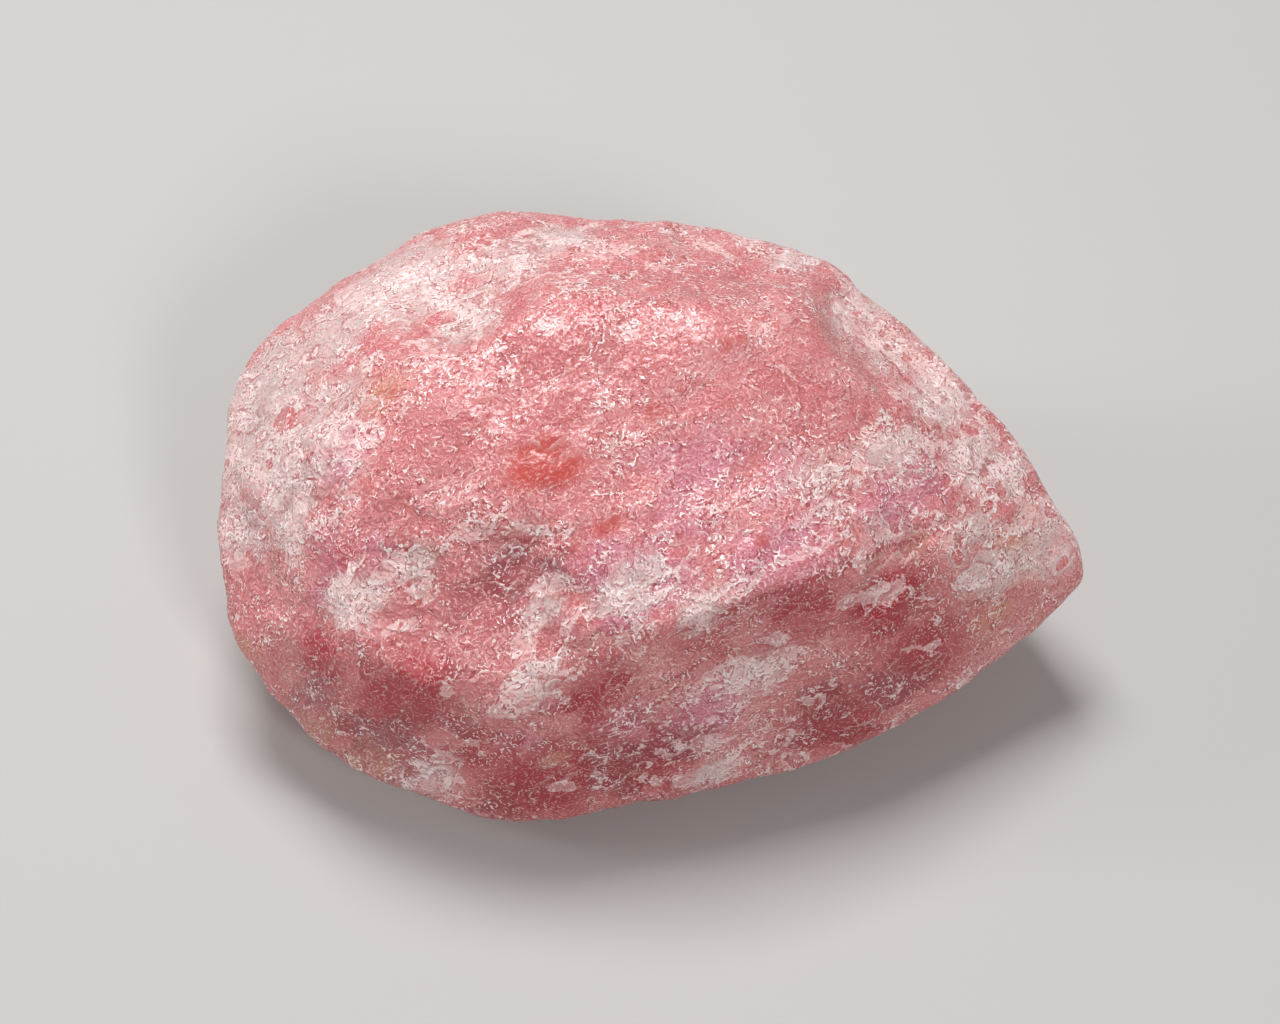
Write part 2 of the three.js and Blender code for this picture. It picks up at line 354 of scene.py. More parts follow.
# each mark: azimuth and elevation in degrees, radius in millimetres, strength
WINDOWS = [
    ((-140, 56), 2.3, 1.0), ((-128, 59), 1.6, 0.9), ((-100, 48), 1.1, 0.8), ((-8, 30), 0.9, 0.7),
    ((-7, 72), 1.6, 0.4), ((-53, 79), 1.2, 0.6), ((-47, 35), 0.9, 0.6), ((177, 37), 0.9, 0.6),
    ((20, 66), 1.3, 0.6), ((-84, 60), 1.0, 0.6),
]
SMOOTH = [
    ((-138, -1), 3.4, 1.0), ((-133, -4), 2.6, 1.0), ((-78, 11), 2.4, 0.8), ((-47, 13), 3.0, 0.8),
    ((-102, 0), 2.4, 0.8), ((-5, -3), 3.0, 1.0), ((-27, -7), 2.8, 0.8), ((-110, -18), 3.6, 0.7),
    ((10, 66), 4.6, 0.9), ((15, 47), 4.0, 0.9), ((-20, 62), 3.0, 0.7),
]


def fine_relief(points, calm):
    """Scars of 1.4 mm and grains of 0.6 mm, fading out where the surface is calm."""
    at = bedded(points, 1.4)
    wander = noises(at / 1.3, (41, 42, 43))
    chips, chip_border = flakes(at / 1.4 + 0.4 * wander, 51, 12.0)
    grains, _ = flakes(points / 0.62 + 0.3 * wander, 52, 10.0)
    rough = 1 - calm
    return rough * (0.06 * chips + 0.03 * grains), rough * chip_border


# %% The skin's points
GRID = 128


def cube_sphere(cuts):
    """Directions on six square grids, u = unit(1, tan(s pi/4), tan(t pi/4)) turned onto
    each side of a cube, with s and t from -1 to 1, and the quads between them. Points
    that two sides share are made one."""
    turn = np.tan(np.linspace(-1, 1, cuts + 1) * math.pi / 4)
    s, t = np.meshgrid(turn, turn, indexing="ij")
    one = np.ones_like(s)
    sides = [(one, s, t), (-one, -s, t), (-s, one, t), (s, -one, t), (-t, s, one), (t, s, -one)]
    points = np.concatenate([np.stack(side, -1).reshape(-1, 3) for side in sides])
    corner = np.arange((cuts + 1) ** 2).reshape(cuts + 1, cuts + 1)
    quad = np.stack([corner[:-1, :-1], corner[1:, :-1], corner[1:, 1:], corner[:-1, 1:]], -1)
    quad = quad.reshape(-1, 4)
    quads = np.concatenate([quad + side * (cuts + 1) ** 2 for side in range(6)])
    whole = np.round(points * 1e6).astype(np.int64)
    _, first, place = np.unique(whole, axis=0, return_index=True, return_inverse=True)
    return points[first], place.reshape(-1)[quads]


cube, quads = cube_sphere(GRID)
ball = cube / np.linalg.norm(cube, axis=1, keepdims=True)
directions = ball * HALF_SIZE
directions /= np.linalg.norm(directions, axis=1, keepdims=True)
print(len(directions), "points,", len(quads) * 2, "triangles")

# %% The skin's surface
reach, crowd = lump(directions)
on_lump = HEART + directions * reach[:, None]
relief, large_border, small_border = solid_relief(on_lump)
on_solid = HEART + directions * (reach + relief)[:, None]
windows = blots(on_solid, WINDOWS)
calm = np.clip(np.maximum(windows * 1.4, blots(on_solid, SMOOTH) * 0.7), 0, 0.9)
fine, chip_border = fine_relief(on_lump, calm)
points = HEART + directions * (reach + relief + fine)[:, None]

# the worn face: what would hang below the floor stops at it
under = points[:, 2] <= 0
floor_reach = HEART[2] / -directions[under, 2]
points[under] = HEART + directions[under] * floor_reach[:, None]
points[under, 2] = 0
print("skin, mm:", points.min(0).round(2), points.max(0).round(2))

# %% How well the solid and the skin's formula agree
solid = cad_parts["stone"].data
corners = np.zeros(len(solid.vertices) * 3)
solid.vertices.foreach_get("co", corners)
corners = corners.reshape(-1, 3) / MM
outward = corners - HEART
distance = np.linalg.norm(outward, axis=1)
outward /= distance[:, None]
expected, _ = lump(outward)
expected = expected + solid_relief(HEART + outward * expected[:, None])[0]
raised = corners[:, 2] > 0.01
difference = np.abs(distance - expected)[raised].max()
print("solid and formula differ by up to", difference.round(4), "mm")

# %% [markdown]
# ## Where the colours lie
#
# The stone's colour isn't even. Milky veils and mauve clouds lie in the beds, the
# windows are coral red, the foot and the bowl are darkened as painted shade, and pale
# rust stains the pointed end. Each of these is a number for every point of the skin, the
# strongest of some listed soft blots. The finish tears their outlines later, so the
# numbers themselves can stay soft.

# %% Veils, stains and painted shade
MILK = [
    ((109, 40), 2.2, 0.9), ((-177, 16), 4.6, 0.85), ((-170, 10), 1.8, 1.0), ((157, 25), 3.6, 0.8),
    ((150, 34), 3.4, 0.8), ((152, 47), 2.6, 0.7), ((-177, 2), 3.0, 0.6), ((-5, 26), 2.4, 0.8),
    ((3, 12), 2.6, 0.9), ((24, 25), 2.6, 0.6), ((34, 32), 2.4, 0.5), ((-151, 10), 2.2, 0.9),
    ((-147, 22), 1.6, 0.7), ((-115, 22), 1.5, 0.7), ((-112, 8), 1.8, 0.9), ((-89, 32), 2.8, 0.7),
    ((-72, 24), 1.6, 0.8), ((-57, 0), 2.6, 0.6), ((-70, -28), 1.4, 1.0), ((-130, -22), 2.2, 0.7),
    ((53, 30), 1.8, 0.8), ((-24, 20), 2.4, 0.5), ((-3, 0), 3.4, 0.7),
    ((79, 12), 3.2, 0.8), ((133, 1), 3.4, 0.8), ((43, -2), 3.0, 0.8), ((164, -6), 2.8, 0.8),
    ((165, 12), 4.6, 1.0), ((174, 8), 4.0, 0.7), ((145, 31), 4.4, 0.9), ((162, 19), 3.6, 0.6),
    ((12, 18), 3.0, 0.8), ((3, 8), 3.0, 0.6), ((36, 25), 3.2, 0.5), ((128, 44), 3.4, 0.7),
    ((-20, 36), 3.0, 0.5), ((-9, 8), 2.6, 0.6), ((-12, 2), 2.6, 0.7), ((146, 42), 3.4, 0.4),
    ((30, 14), 3.4, 0.5), ((18, 10), 3.0, 0.5), ((176, 22), 3.4, 0.7),
]
MAUVE = [
    ((-174, 25), 3.0, 0.9), ((-156, 13), 3.2, 0.9), ((-88, 31), 3.4, 1.0), ((-47, 60), 3.4, 0.9),
    ((-74, -12), 3.2, 1.0), ((-13, 22), 3.6, 0.9), ((-46, 30), 3.4, 0.9), ((-113, -11), 2.6, 0.6),
    ((114, 8), 4.0, 0.9), ((53, 11), 3.0, 0.7), ((157, 7), 3.0, 0.6), ((-101, 38), 2.4, 0.8),
    ((-70, 47), 3.0, 0.7), ((-92, -6), 2.4, 0.7), ((-124, 26), 2.8, 0.6), ((-60, 66), 2.8, 0.6),
    ((-30, 44), 3.0, 0.6), ((165, 28), 2.6, 0.5),
]
ROSE = [
    ((-157, 14), 2.4, 0.6), ((-72, 15), 3.2, 0.6), ((-98, 4), 2.8, 1.0), ((-46, 13), 4.0, 0.7),
    ((-28, 7), 3.4, 1.0), ((-130, 20), 3.4, 0.4), ((-136, -3), 4.4, 1.0), ((-110, -19), 5.0, 1.0),
    ((-86, -22), 3.6, 1.0), ((-26, -8), 4.4, 1.0), ((-40, -18), 4.2, 1.0), ((-127, 56), 2.2, 0.5),
    ((27, 5), 4.0, 0.7), ((-151, -2), 3.2, 0.9), ((-123, -15), 4.0, 0.8),
    ((-146, -14), 3.0, 0.7), ((-52, 5), 2.6, 0.4), ((-88, -14), 2.6, 0.7),
]
RUST = [
    ((-9, 2), 2.8, 1.0), ((-142, -20), 3.0, 0.5), ((-150, -17), 2.8, 0.5), ((-165, -10), 2.4, 0.6),
    ((-14, -6), 2.0, 0.7), ((-106, -14), 1.2, 0.5), ((177, 35), 2.2, 0.8), ((73, -11), 3.4, 0.7),
    ((-18, 14), 2.2, 0.5),
]
# painted shade: darker blots on the foot, the lower front and the bowl, where less light falls
PAINTED_SHADE_BLOTS = [
    ((-127, 22), 4.0, 0.9), ((-116, 20), 2.6, 0.6), ((-138, -17), 4.2, 1.0), ((-150, -12), 3.2, 0.9),
    ((-90, -20), 3.2, 0.8), ((-80, -18), 2.4, 0.7), ((-42, -15), 3.6, 0.9), ((-32, -13), 3.2, 0.9),
    ((-118, -24), 3.0, 0.6),
]
print(sum(map(len, (MILK, MAUVE, ROSE, RUST, PAINTED_SHADE_BLOTS))), "blots")

# %% [markdown]
# ## Crushed rock
#
# Where a blow landed or a chip sprang off, the rock is crushed to white powder with a
# crisp outline. These are strokes: bent lines over the surface with a width. The skin
# keeps how deep each point is inside a stroke, in millimetres, because a smooth number
# can be cut to a crisp and ragged edge by the finish later. The back gets strokes of the
# same kind at random places. Creases are strokes too: thin dark lines, painted shade
# where a ledge or the foot of a chip shades itself, and a few dark healed cracks.

# %% Crushed strokes, as bends of azimuth and elevation and half the width
CRUSHED = [
    # the back edge of the top
    ([(116, 38), (106, 42), (92, 47)], 0.65), ([(101, 50), (95, 52)], 0.3),
    ([(72, 37), (64, 38)], 0.3), ([(47, 45), (42, 45)], 0.3), ([(41, 27), (37, 27)], 0.5),
    ([(34, 32), (32, 30), (27, 26)], 0.6), ([(24, 58), (21, 55), (24, 51)], 0.4),
    ([(8, 55), (5, 52)], 0.4), ([(24, 48), (23, 44)], 0.3),
    # the shoulder and the crown
    ([(147, 21), (152, 30)], 0.8), ([(145, 36), (146, 42), (146, 48)], 0.35),
    ([(147, 48), (153, 52), (162, 52), (169, 50), (166, 44), (161, 40), (163, 35), (167, 32)], 0.35),
    ([(153, 62), (142, 69)], 0.4), ([(139, 47), (140, 48)], 0.35), ([(168, 24), (171, 23)], 0.3),
    ([(149, 73), (134, 72)], 0.4), ([(92, 79), (87, 74)], 0.5), ([(169, 14), (170, 16)], 0.3),
    # the bevel towards the tip
    ([(29, 23), (27, 20)], 0.25), ([(25, 20), (21, 17)], 0.3), ([(17, 17), (13, 13)], 0.6),
    ([(7, 14), (7, 10)], 0.55), ([(-5, 32), (-1, 30)], 0.4), ([(11, 28), (9, 23)], 0.25),
    ([(0, 21), (-4, 18)], 0.6), ([(2, 20), (3, 16)], 0.3), ([(-12, 33), (-15, 30)], 0.4),
    ([(42, 30), (32, 24), (21, 19), (11, 15), (2, 9)], 0.3), ([(14, 14), (8, 8), (0, 5)], 0.25),
    # the blunt end
    ([(167, 14), (177, 25), (-174, 34), (-161, 40)], 0.2),
    ([(-171, 13), (-167, 8)], 0.9), ([(179, 10), (-175, 10)], 0.6), ([(-177, 25), (-172, 27)], 0.7),
    # round the bowl
    ([(-154, 10), (-150, 6)], 0.9), ([(-150, 13), (-150, 18), (-147, 23)], 0.75),
    ([(-148, 22), (-145, 27), (-141, 34)], 0.35), ([(-141, 34), (-130, 40), (-119, 43)], 0.12),
    ([(-119, 43), (-105, 42)], 0.12), ([(-144, 14), (-142, 17)], 0.5), ([(-143, 8), (-141, 10)], 0.3),
    ([(-128, 3), (-124, 4)], 0.4), ([(-118, 26), (-113, 30), (-107, 29)], 0.4),
    ([(-115, 18), (-118, 12)], 0.5), ([(-119, 5), (-113, 9), (-103, 11)], 0.55),
    ([(-118, 0), (-112, 3), (-106, 6)], 0.5), ([(-108, 19), (-104, 25)], 0.6),
    # the ridge and the ledge
    ([(-75, 23), (-71, 22)], 0.6), ([(-69, 28), (-61, 28), (-53, 29)], 0.5),
    ([(-74, -1), (-67, 2), (-61, 3)], 0.5), ([(-63, -4), (-55, 0), (-48, 3)], 0.7),
    ([(-59, 11), (-49, 7)], 0.4), ([(-29, -5), (-21, -8)], 0.3), ([(-37, 13), (-26, 9)], 0.4),
    ([(-54, 30), (-40, 28), (-29, 25), (-18, 20), (-10, 14)], 0.1),
    # the foot
    ([(-73, -19), (-65, -19)], 0.4), ([(-76, -29), (-70, -29), (-65, -26)], 0.7),
    ([(-132, -24), (-125, -21)], 0.7), ([(-107, -23), (-104, -24)], 0.25),
]
print(len(CRUSHED), "crushed strokes")

# %% Dark creases, painted shade and healed cracks, with bends and half the width like the strokes
SHADE_AND_CRACK_LINES = [
    ([(-78, 20), (-68, 22), (-58, 24), (-47, 23), (-36, 21), (-26, 19), (-17, 14)], 0.22),
    ([(-141, 31), (-131, 36), (-120, 39), (-109, 39)], 0.16),
    ([(44, 34), (33, 29), (22, 24), (13, 20), (5, 19)], 0.14),
    ([(-30, 4), (-20, 0), (-12, -4)], 0.16), ([(-96, -2), (-84, 2), (-72, 6)], 0.14),
    ([(-152, 4), (-143, 0), (-133, -6), (-122, -8)], 0.16),
    ([(175, 30), (-176, 20), (-168, 17)], 0.14),
]
print(len(SHADE_AND_CRACK_LINES), "creases")

# %% Strokes on the hidden back
HIDDEN_STROKES = 34
chance = np.random.default_rng(5)
for _ in range(HIDDEN_STROKES):
    start = chance.uniform((20, -45), (175, 28))
    bends = start + np.cumsum(chance.uniform((-9, -4), (9, 7), (3, 2)), axis=0)
    CRUSHED.append((bends.tolist(), chance.uniform(0.2, 0.75)))
print(len(CRUSHED), "crushed strokes with the hidden ones")

# %% How deep a point is inside a stroke, in millimetres
DEEPEST = 1.5


def strokes(points, paths):
    """Half the width of the nearest stroke less the distance to it, cut at 1.5 mm. The
    distance to a straight piece a to b is |p - a - t (b - a)|, with t clipped to 0 to 1."""
    depth = np.full(len(points), -DEEPEST)
    for path, half_width in paths:
        bends = on_stone(path)
        for start, end in zip(bends[:-1], bends[1:]):
            along = end - start
            share = np.clip((points - start) @ along / (along @ along), 0, 1)
            away = points - start - share[:, None] * along
            depth = np.maximum(depth, half_width - np.linalg.norm(away, axis=1))
    return np.minimum(depth, DEEPEST)


# %% A number for each look at each point
edges = np.clip(crowd * 1.1, 0, 1)
borders = 0.5 * large_border + 0.42 * small_border + 0.3 * chip_border
bruise = np.clip(0.75 * edges + borders, 0, 1.5)
looks = {
    "milk": blots(points, MILK),
    "mauve": blots(points, MAUVE),
    "rose": blots(points, ROSE),
    "rust": blots(points, RUST),
    "painted_shade": blots(points, PAINTED_SHADE_BLOTS),
    "window": windows,
    "calm": calm,
    "bruise": bruise * (1 - 0.8 * calm),
    "crushed": strokes(points, CRUSHED),
    "shade_and_cracks": strokes(points, SHADE_AND_CRACK_LINES),
}
print("means:", {name: round(float(value.mean()), 3) for name, value in looks.items()})


# %% The skin as a mesh
def make_skin(name, points, quads, looks):
    """A smooth-shaded mesh of quads, with one named number per point for each look."""
    mesh = bpy.data.meshes.new(name)
    mesh.from_pydata((points * MM).tolist(), [], quads.tolist())
    mesh.polygons.foreach_set("use_smooth", np.ones(len(quads), bool))
    for look, values in looks.items():
        mesh.attributes.new(look, "FLOAT", "POINT").data.foreach_set("value", values)
    mesh.update()
    piece = bpy.data.objects.new(name, mesh)
    bpy.context.collection.objects.link(piece)
    return piece


skin = make_skin("stone_skin", points, quads, looks)
area = sum(polygon.area for polygon in skin.data.polygons)
print("skin area, square mm:", round(area / MM ** 2))

# %% [markdown]
# ## Writing a finish as sums
#
# A finish is a web of nodes, which is slow to read when each node and link has its own
# line. The small class below wraps one output of a node, so that a + b adds a Math node
# and links it. Whole finishes can then be read as formulas.


# %% Wires
class Wire:
    """One output socket. Arithmetic on it adds Math nodes, or Vector Math on vectors."""

    def __init__(self, finish, socket):
        self.finish = finish
        self.socket = socket

    def also(self, output):
        """Another output of the same node."""
        return Wire(self.finish, self.socket.node.outputs[output])

    def combine(self, operation, *inputs):
        """A Math node on these inputs, or a Vector Math node if one of them is a vector."""
        sockets = [wire.socket for wire in inputs if isinstance(wire, Wire)]
        vector = any(socket.type in ("VECTOR", "RGBA") for socket in sockets)
        kind = "ShaderNodeVectorMath" if vector else "ShaderNodeMath"
        return self.finish.node(kind, {"operation": operation}, dict(enumerate(inputs)))

    def __add__(self, other):
        return self.combine("ADD", self, other)

    def __radd__(self, other):
        return self.combine("ADD", other, self)

    def __sub__(self, other):
        return self.combine("SUBTRACT", self, other)

    def __rsub__(self, other):
        return self.combine("SUBTRACT", other, self)

    def __mul__(self, other):
        return self.combine("MULTIPLY", self, other)

    def __rmul__(self, other):
        return self.combine("MULTIPLY", other, self)

    def __pow__(self, other):
        return self.combine("POWER", self, other)

    def __abs__(self):
        return self.combine("ABSOLUTE", self)

    def most(self, other):
        """The larger of two."""
        return self.combine("MAXIMUM", self, other)

    def part(self, operation):
        """FLOOR for the whole part, FRACT for what is left of it."""
        return self.combine(operation, self)

    def scaled(self, factor):
        """A vector times one number."""
        inputs = {0: self, "Scale": factor}
        return self.finish.node("ShaderNodeVectorMath", {"operation": "SCALE"}, inputs)

    def dot(self, other):
        """The dot product of two vectors."""
        settings = {"operation": "DOT_PRODUCT"}
        return self.finish.node("ShaderNodeVectorMath", settings, {0: self, 1: other}, "Value")

    def step(self, low, high):
        """0 below low, 1 above high and an S-curve between them."""
        inputs = {"Value": self, "From Min": low, "From Max": high}
        return self.finish.node("ShaderNodeMapRange", {"interpolation_type": "SMOOTHSTEP"}, inputs)


# %% Finishes
SEED_STEP = (17.0, 31.0, 47.0)  # millimetres that one seed moves a noise


class Finish:
    """A material being written."""

    def __init__(self, name):
        self.material = bpy.data.materials.new(name)
        self.material.use_nodes = True
        self.tree = self.material.node_tree
        self.shader = self.tree.nodes["Principled BSDF"]

    def node(self, kind, settings=None, inputs=None, output=0):
        """Adds a node: its settings first, then a value or a link for each socket."""
        made = self.tree.nodes.new(kind)
        for name, value in (settings or {}).items():
            setattr(made, name, value)
        for key, value in (inputs or {}).items():
            self.feed(made.inputs[key], value)
        return Wire(self, made.outputs[output])

    def feed(self, socket, value):
        """Links a wire to a socket, or sets the socket's own value."""
        if isinstance(value, Wire):
            self.tree.links.new(value.socket, socket)
        elif socket.type == "VECTOR" and isinstance(value, (int, float)):
            socket.default_value = (value,) * 3
        else:
            socket.default_value = value

    def look(self, name):
        """One of the skin's own numbers."""
        return self.node("ShaderNodeAttribute", {"attribute_name": name}, output="Fac")

    def noise(self, at, size, detail=2.0, seed=0.0, rough=0.5):
        """Noise from 0 to 1 with lumps of about this size. A seed moves it elsewhere."""
        shifted = at + tuple(seed * step for step in SEED_STEP)
        inputs = {"Vector": shifted, "Scale": 1 / size, "Detail": detail, "Roughness": rough}
        return self.node("ShaderNodeTexNoise", {"noise_dimensions": "3D"}, inputs, "Fac")

    def blend(self, amount, first, second):
        """A colour between two colours."""
        inputs = {0: amount, 6: first, 7: second}
        return self.node("ShaderNodeMix", {"data_type": "RGBA"}, inputs, 2)

    def wear(self, **inputs):
        """Feeds the shader's sockets, by name with _ for each space."""
        for name, value in inputs.items():
            self.feed(self.shader.inputs[name.replace("_", " ")], value)

    def report(self, part):
        """Prints how many nodes there are once a part is made."""
        print(f"{part}: {len(self.tree.nodes)} nodes")


def screen(red, green, blue):
    """A colour as a screen shows it, 0 to 255, as linear light."""
    shown = np.array([red, green, blue]) / 255
    light = np.where(shown <= 0.04045, shown / 12.92, ((shown + 0.055) / 1.055) ** 2.4)
    return (*light.tolist(), 1.0)


print("half grey as light:", round(screen(128, 128, 128)[0], 3))

# %% [markdown]
# ## The finish: places and noises
#
# Everything in the finish is a formula of the place in the rock, so it has no seams and
# is the same from every side. The rock was pressed into beds, so the slow patterns use
# places that are stretched across the beds, and a colour noise bends them, which hides
# their grids. Four noises do most of the work: clouds, streaks, rags and grit, each a few
# times finer than the one before. The jitter made of two of them tears each outline.

# %% Places and noises, with the sizes of their lumps in millimetres
DRIFT, CLOUD, STREAK, RAG, GRIT = 0.9, 4.5, 1.8, 0.6, 0.17
BED_STRETCH = 0.5  # the share that places are stretched across the beds

stone = Finish("pink_aventurine")
place = stone.node("ShaderNodeTexCoord", output="Object").scaled(1 / MM)
bed_normal = tuple(BED_NORMAL)
stretch = {0: bed_normal, "Scale": place.dot(bed_normal) * BED_STRETCH}
beds = place + stone.node("ShaderNodeVectorMath", {"operation": "SCALE"}, stretch)

drift_inputs = {"Vector": place, "Scale": 1 / DRIFT, "Detail": 1.0}
drift = stone.node("ShaderNodeTexNoise", {"noise_dimensions": "3D"}, drift_inputs, "Color") - 0.5
bent = place + drift.scaled(0.5)
bent_beds = beds + drift.scaled(0.9)

cloud = stone.noise(beds, CLOUD, 2.0, 1.0)
streak = stone.noise(bent_beds, STREAK, 2.0, 2.0, 0.6)
ragged = stone.noise(bent, RAG, 2.0, 3.0, 0.65)
grit = stone.noise(bent, GRIT, 1.0, 4.0)
jitter = (streak - 0.5) * 1.1 + (ragged - 0.5) * 0.9
milk, bruised, calm_look = (stone.look(name) for name in ("milk", "bruise", "calm"))
stone.report("places and noises")

# %% [markdown]
# ## Terraces and plates
#
# Flakes leave thin curved steps behind, one above the other, like a map's contours. A
# swirling noise is cut into such steps: its whole part numbers the tread, and its
# fraction runs from 0 at the tread's pale lip to 1 at the foot of the next one, which is
# darkened as painted shade.
# Plates are larger pieces of the beds. Each cell of a Voronoi pattern gets a tone, a
# tint and a tilt of its own, and white crumbs gather where two plates meet.

# %% Terraces
SWIRL = 3.2  # millimetres
STEPS = 5.5  # from the swirl's lowest to its highest

swirl = stone.noise(bent_beds, SWIRL, 1.0, 8.0, 0.55)
contours = swirl * STEPS + ragged * 0.35
terrace = contours.part("FRACT")
tread_number = {"W": contours.part("FLOOR")}
tread = stone.node("ShaderNodeTexWhiteNoise", {"noise_dimensions": "1D"}, tread_number)
lip = (1 - terrace) ** 1.6 * terrace.step(0.0, 0.06)
brink = terrace.step(0.0, 0.03) * (1 - terrace.step(0.04, 0.2))
# the foot of each step, where shade is painted later
step_foot_shade = terrace.step(0.75, 0.98)
terraced = (ragged * 0.5 + cloud * 0.5 + milk * 0.05).step(0.46, 0.56)
stone.report("terraces")


# %% Plates
def tilted_cells(at, size):
    """Cells of this size as flats with tilts of their own: their random colours, and
    (colour - 1/2) . (p - the cell's middle) as their height."""
    colours = stone.node("ShaderNodeTexVoronoi", None, {"Vector": at, "Scale": 1 / size}, "Color")
    return colours, (colours - 0.5).dot(at - colours.also("Position"))


PLATE = 2.0  # millimetres
plates, plate_height = tilted_cells(bent_beds, PLATE)
plate_parts = stone.node("ShaderNodeSeparateColor", None, {"Color": plates}, "Red")
tone, tint = plate_parts - 0.5, plate_parts.also("Green") - 0.5
to_edge = stone.node(
    "ShaderNodeTexVoronoi",
    {"feature": "DISTANCE_TO_EDGE"},
    {"Vector": bent_beds, "Scale": 1 / PLATE},
    "Distance",
)
border = 1 - to_edge.step(0.0, 0.14)
stone.report("plates")

# %% [markdown]
# ## The colours inside the rock
#
# Fine dust inside the quartz gives its pink, and the dust is uneven. So the body is a
# haze between two corals, with the stains and the painted shade placed earlier laid
# over it, one after the other. A smooth blot would look like paint. So jitter and the
# plates' own numbers are added to each blot before an S-curve cuts its outline.

# %% The body
CORAL = screen(208, 125, 127)
PALE = screen(230, 170, 170)
DEEP = screen(172, 72, 78)

haze = 0.6 * cloud + 0.4 * streak + 0.1 * tone + 0.1 * (tread - 0.5)
colour = stone.blend(haze.step(0.4, 0.66) * 0.55, CORAL, PALE)
stone.report("body")

# %% The stains and the painted shade: look, colour, jitter, the plates' number and its share, S-curve, strength
STAINS = [
    ("mauve", screen(212, 138, 160), 0.5, tint, 0.4, (0.15, 0.9), 0.75),
    ("rose", screen(170, 36, 52), 0.6, tone, 0.4, (0.15, 0.9), 0.92),
    # painted shade on the foot, the lower front and the bowl
    ("painted_shade", screen(142, 72, 80), 0.6, tone, 0.5, (0.15, 0.95), 0.6),
    ("rust", screen(214, 154, 126), 0.5, tint, 0.4, (0.15, 0.9), 0.75),
    ("window", screen(192, 76, 68), 0.35, tint, 0.1, (0.15, 0.85), 0.92),
]
for name, stain, torn, plate, plate_share, curve, strength in STAINS:
    amount = stone.look(name) + jitter * torn + plate * plate_share
    colour = stone.blend(amount.step(*curve) * strength, colour, stain)
stone.report("stains")

# %% [markdown]
# ## Veils, steps and creases
#
# Milky veils are quartz full of tiny bubbles. They lie over the body's colour, and the
# plates and treads give them flat pieces with crisp edges. The terraces then draw their
# pale brinks and painted shade at their feet, and the listed creases get a dark, ragged
# line: painted shade under the ledge, along the bevel and at the bowl's rim, and dark
# healed cracks.

# %% Veils, steps and creases
MILKY = screen(217, 197, 194)
CHALK = screen(252, 224, 221)

veil = (milk * 1.1 + jitter * 0.35 + (tone + tread - 0.5) * 0.26 + lip * 0.25).step(0.25, 0.9)
colour = stone.blend(veil * 0.88, colour, MILKY)
# painted shade at the foot of each step
colour = stone.blend(step_foot_shade * terraced * (0.3 + veil * 0.3), colour, DEEP)
colour = stone.blend(brink * terraced * (0.4 + veil * 0.5) * (1 - calm_look * 0.7), colour, CHALK)
# the creases: painted shade under the ledge, along the bevel and at the bowl's rim, and dark healed
# cracks
crease_shade_and_cracks = (stone.look("shade_and_cracks") + (ragged - 0.5) * 0.9).step(-0.12, 0.16)
colour = stone.blend(crease_shade_and_cracks * 0.75, colour, DEEP)
stone.report("veils, steps and creases")

# %% [markdown]
# ## Crushed rock
#
# The listed strokes become patches: noise is added to the depth inside the stroke,
# and a narrow S-curve cuts it to a crisp shell with a whiter rim. Small scars show
# wherever edges, milk and jitter add up to enough. Both are whitest at the lips of the
# terraces, so they look like layers and not like spilt flour.

# %% Crushed patches and scars
inside = stone.look("crushed") + (ragged - 0.5) * 0.8 + (streak - 0.5) * 1.1 + tone * 0.7
shell = inside.step(0.05, 0.14)
rim = shell * (1 - inside.step(0.1, 0.45))
scars = 0.55 * bruised + 0.3 * milk + 0.9 * jitter + 0.3 * lip + 0.3 * (grit - 0.5)
scars = scars.step(1.0, 1.06)
chalk = (shell * (0.35 + lip * 0.55)).most(scars * (0.2 + lip * 0.6)).most(rim * 0.7)
colour = stone.blend(chalk * 0.82, colour, CHALK)
stone.report("crushed patches and scars")

# %% [markdown]
# ## The grains' rims, as painted glints and painted shade
#
# Each grain's rim catches the light on one side and is dark on the other. Both are
# painted into the colour as a short bent stroke: a painted glint on the lit half and
# painted shade on the other. A ring round each peak of a fine noise gives the rim. The
# same noise, read a little behind and a little ahead along the way to the light, says
# which half of the ring is painted lit. That way drifts from place to place, so the
# strokes don't line up. Two sizes take turns. The painted glints are faint and pink
# nearly everywhere, and white and close together in clusters, which follow the edges,
# veils and borders.

# %% The grains' rims, as painted glints and painted shade
LARGE_GRAIN, SMALL_GRAIN = 0.25, 0.16  # millimetres
RING_LEVEL = 0.59  # the noise's value at the middle of a ring
BACK_AND_UP = (0.0, 0.014, 0.014)  # millimetres, the way to the key lamp
to_light = drift.scaled(0.2) + BACK_AND_UP


def glint_and_shade_crescents(size, width, seed):
    """Rings round the peaks of a noise, 1 - |noise - level| / width, in two halves: the
    painted glint that faces the light, and the painted shade of the other."""
    ring = (1 - abs(stone.noise(place, size, 0.0, seed) - RING_LEVEL) * (1 / width)).most(0)
    behind = stone.noise(place - to_light, size, 0.0, seed)
    ahead = stone.noise(place + to_light, size, 0.0, seed)
    lit = (behind - ahead).step(-0.03, 0.07)
    return ring * lit, ring * (1 - lit)


large, large_shade = glint_and_shade_crescents(LARGE_GRAIN, 0.12, 5.0)
small, small_shade = glint_and_shade_crescents(SMALL_GRAIN, 0.13, 6.0)
stone.report("grains' rims")

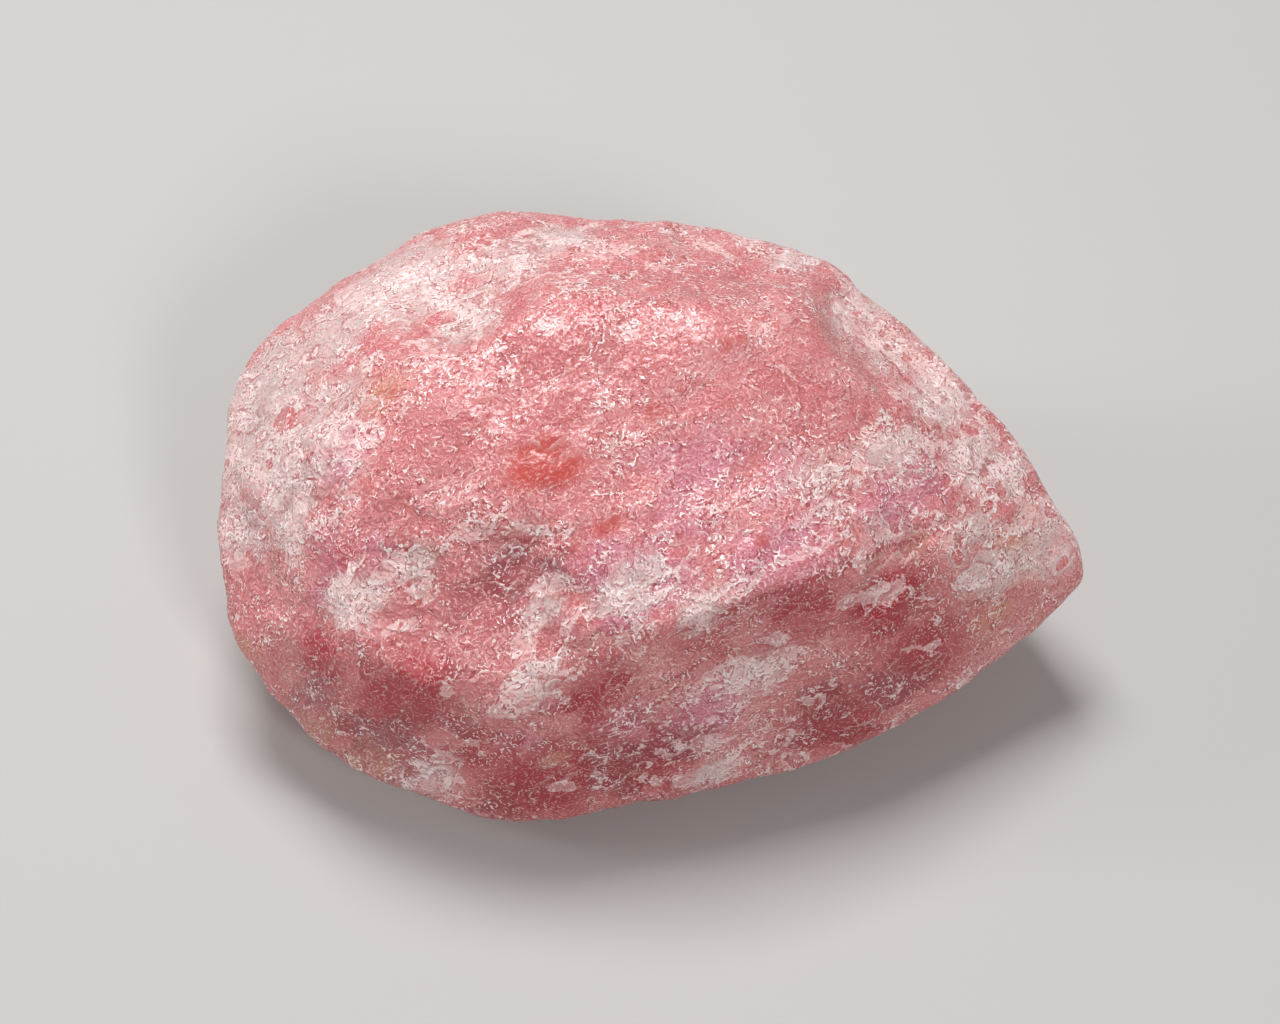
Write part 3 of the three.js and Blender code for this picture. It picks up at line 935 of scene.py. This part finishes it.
# %% Where the rims crowd: in clusters, and less on calm and rose-red places
cluster = streak * 0.5 + ragged * 0.5 + border * 0.05
cluster = (cluster + bruised * 0.06 + milk * 0.03 + chalk * 0.06).step(0.56, 0.65)
zones = (streak * 0.5 + cloud * 0.5).step(0.36, 0.62)
take_turns = stone.noise(place, 0.4, 1.0, 7.0) + cluster * 0.06
here = take_turns.step(0.48, 0.56)
there = 1 - here
# painted glints on the rims' lit halves, and painted shade on their other halves
painted_glints = ((large * here).most(small * there) * 2.0).step(0.15, 0.9)
painted_rim_shade = ((large_shade * here).most(small_shade * there) * 2.0).step(0.15, 0.9)
sugar = 1 - (calm_look + jitter * 0.5).step(0.35, 0.95) * 0.75
crowded = (0.2 + sugar * 0.8) * (0.44 + zones * 0.2 + cluster * 0.34 + (border + veil) * 0.12)
crowded = crowded * (1 - stone.look("rose") * 0.4)
stone.report("where the rims crowd")

# %% The rims' colours: painted shade and painted glints
# the colours of the painted glints
PAINTED_GLINT_WHITE = screen(255, 240, 238)
PAINTED_GLINT_PINK = screen(250, 200, 196)
# painted shade on the rims' dark halves, then painted glints, pink or white, on their lit halves
colour = stone.blend(painted_rim_shade * crowded * (0.88 - veil * 0.22), colour, DEEP)
colour = stone.blend(painted_glints * crowded, colour, stone.blend(cluster, PAINTED_GLINT_PINK, PAINTED_GLINT_WHITE))
stone.report("rims' colours")

# %% [markdown]
# ## Relief, gloss and glow
#
# The skin's mesh holds scars of 1.4 mm and grains of 0.6 mm. A bump gives the rest: the
# finer grains' tilted flats, which flash one by one, a ripple, the lips of the terraces
# and the tilt of the plates. Broken quartz is glossy, and crushed rock less so. Light
# goes in and comes out pink about a millimetre away, red the furthest, which is why the
# shadows glow. That is the shader's own subsurface scattering.

# %% Relief, gloss and glow
GRAIN, RIPPLE = 0.22, 0.36  # millimetres
QUARTZ_INDEX = 1.54  # how strongly quartz bends light
_, grain_height = tilted_cells(place, GRAIN)
ripple = stone.noise(place, RIPPLE, 1.0, 9.0)
rough_part = (1 - calm_look * 0.7) * (1 - milk * 0.2)
height = (grain_height * 0.28 + ripple * 0.13) * rough_part
height = height + lip * 0.06 + (ragged - 0.5) * 0.08 + plate_height * (1 - calm_look) * 0.22
bump = {"Strength": 0.8, "Distance": MM, "Height": height}

stone.shader.subsurface_method = "RANDOM_WALK"
stone.wear(
    Base_Color=colour,
    Roughness=0.27 + chalk * 0.2,
    Normal=stone.node("ShaderNodeBump", None, bump, "Normal"),
    Subsurface_Weight=0.4,
    Subsurface_Radius=(1.0, 0.6, 0.55),
    Subsurface_Scale=1.2 * MM,
    IOR=QUARTZ_INDEX,
    Specular_IOR_Level=0.4,
)
stone.report("relief, gloss and glow")

# %% The skin takes its finish and the solid's place
skin.data.materials.append(stone.material)
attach(skin, "root")
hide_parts("stone")

# %% [markdown]
# ## The floor
#
# A plain pale sheet of paper, large enough to fill the view.

# %% Floor
paper = Finish("paper_floor")
paper.wear(Base_Color=(0.52, 0.51, 0.5, 1), Roughness=0.9)

HALF_SHEET = 3.0  # metres
sheet_corners = [(x * HALF_SHEET, y * HALF_SHEET, 0) for x, y in ((-1, -1), (1, -1), (1, 1), (-1, 1))]
sheet = bpy.data.meshes.new("floor")
sheet.from_pydata(sheet_corners, [], [(0, 1, 2, 3)])
floor = bpy.data.objects.new("floor", sheet)
bpy.context.collection.objects.link(floor)
floor.data.materials.append(paper.material)
print("floor, metres:", tuple(floor.dimensions))
